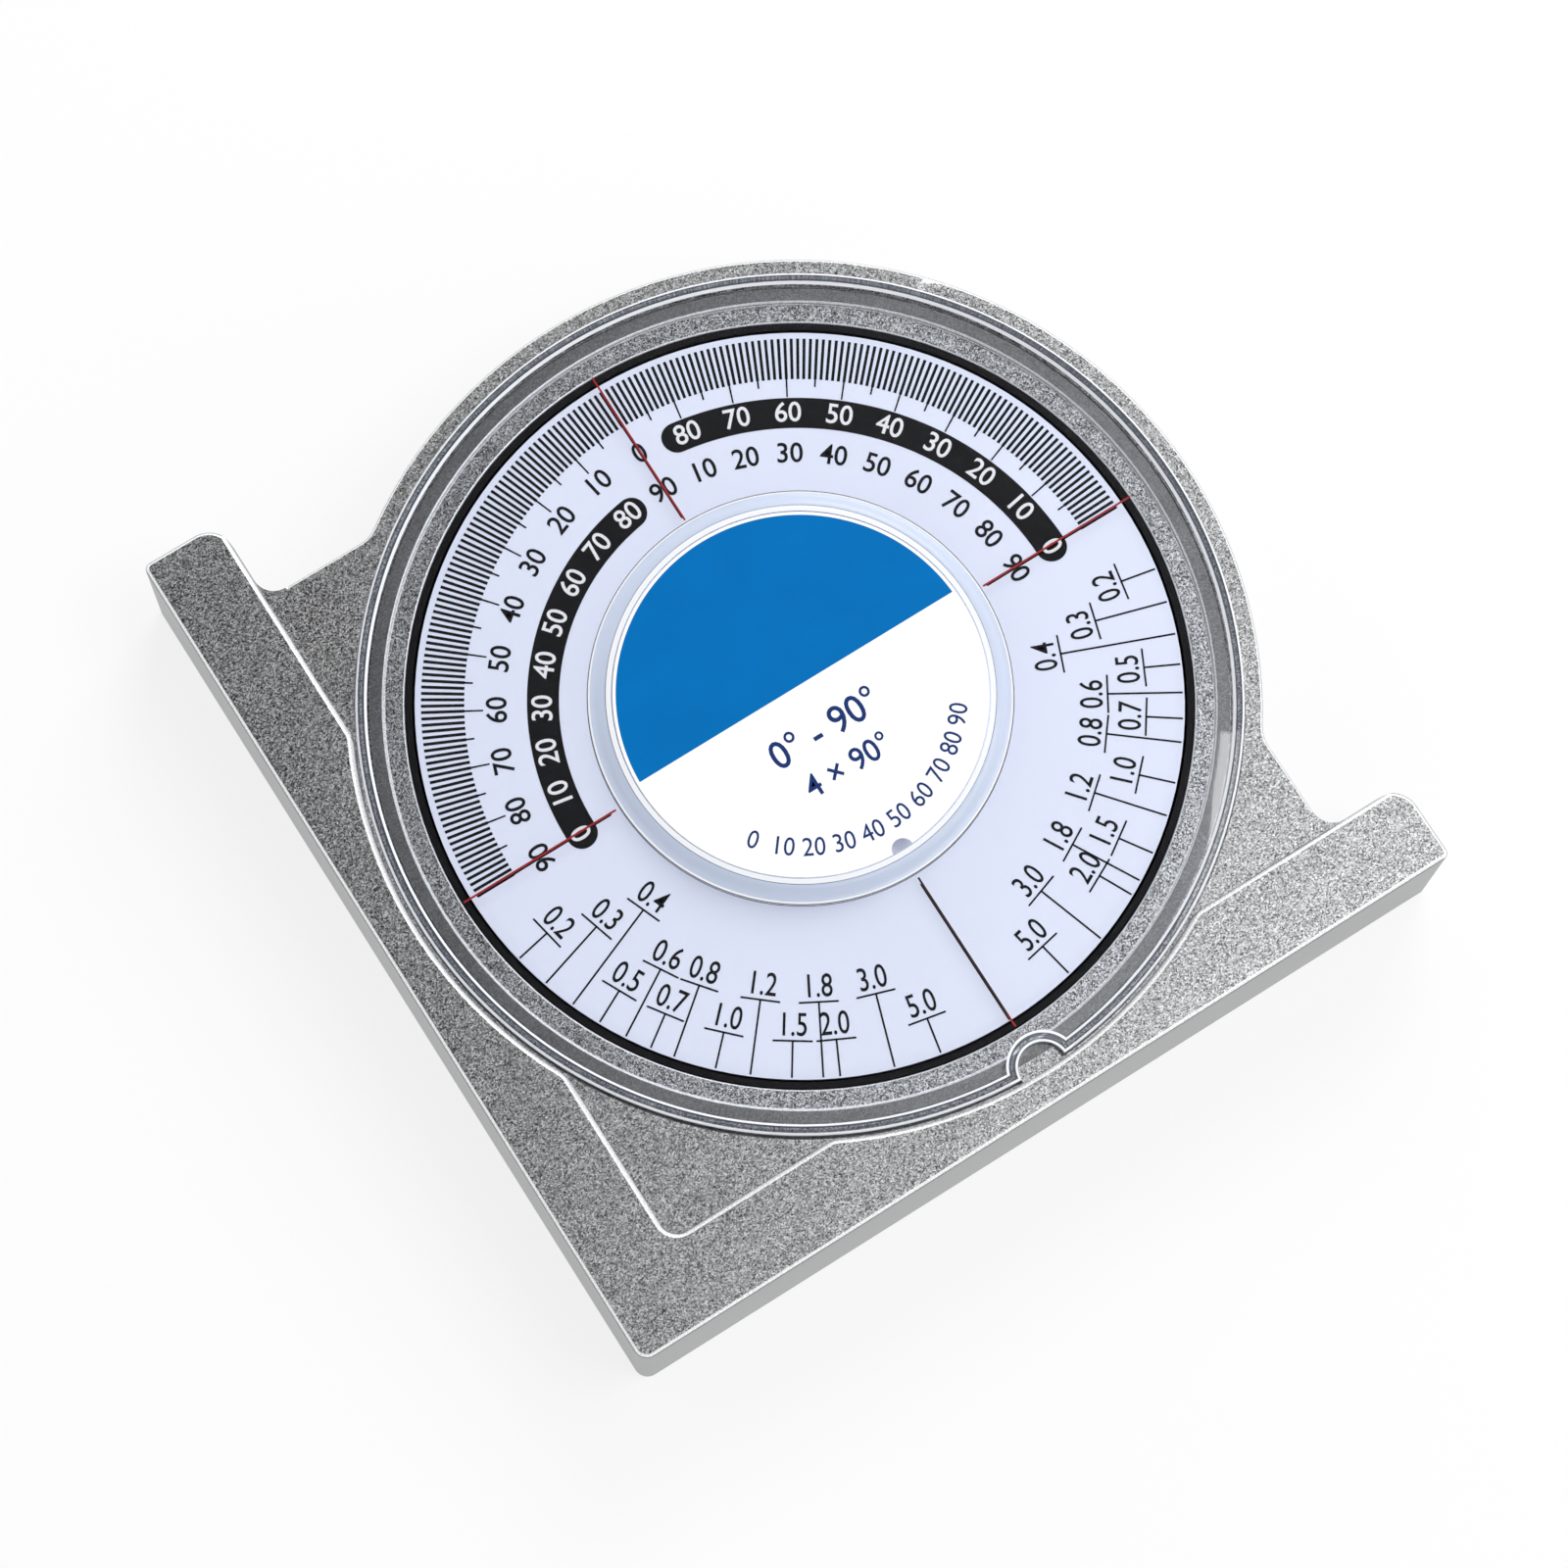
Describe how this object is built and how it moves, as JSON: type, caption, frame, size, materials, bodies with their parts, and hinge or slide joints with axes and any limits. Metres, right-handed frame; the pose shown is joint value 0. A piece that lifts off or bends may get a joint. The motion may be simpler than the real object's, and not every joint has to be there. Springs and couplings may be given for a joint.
{
  "type": "inclinometer",
  "caption": "Weighted-dial angle finder: L-shaped body with two magnetic faces, clear cover with red reading lines, and a free card that hangs upright.",
  "frame": {"origin": "where the pivot axis of the dial meets the flat back face", "axes": "+X along the base leg to its free end, +Y along the side leg to its free end, +Z out of the dial"},
  "size_m": [0.1058, 0.1051, 0.0186],
  "materials": {
    "silver_casting": "fine sand-grain texture, satin",
    "back_plate": "fine moulded grain",
    "screw_steel": "zinc plated",
    "tray_black": "black, fine grain",
    "gasket_rubber": "smooth",
    "lens_clear": "clear moulded cover, polished",
    "line_red": "red filling",
    "label_print": "printed, blue above and white below",
    "bush_brass": "turned",
    "magnet": "sintered, ground",
    "strip_steel": "cold rolled",
    "card_white": "white with black scale",
    "carrier_plastic": "moulded",
    "weight_steel": "stamped, plated",
    "shaft_steel": "ground",
    "washer_plastic": "low friction, natural"
  },
  "bodies": {
    "housing": {"front_housing": "silver_casting", "back_cover": "back_plate", "cover_screws": "screw_steel", "dial_tray": "tray_black", "tray_screws": "screw_steel", "tray_gasket": "gasket_rubber", "lens": "lens_clear", "index_lines": "line_red", "centre_label": "label_print", "front_bearing": "bush_brass", "rear_bearing": "bush_brass", "base_magnets": "magnet", "side_magnets": "magnet", "base_backing_strip": "strip_steel", "side_backing_strip": "strip_steel"},
    "dial": {"dial_card": "card_white", "dial_carrier": "carrier_plastic", "counterweight": "weight_steel", "counterweight_screws": "screw_steel", "pivot_shaft": "shaft_steel", "front_thrust_washer": "washer_plastic", "rear_thrust_washer": "washer_plastic"}
  },
  "joints": [
    {"name": "dial_turn", "type": "hinge", "parent": "housing", "child": "dial", "pos_m": [0, 0, 0.0095], "axis": [0, 0, 1], "continuous": true}
  ]
}
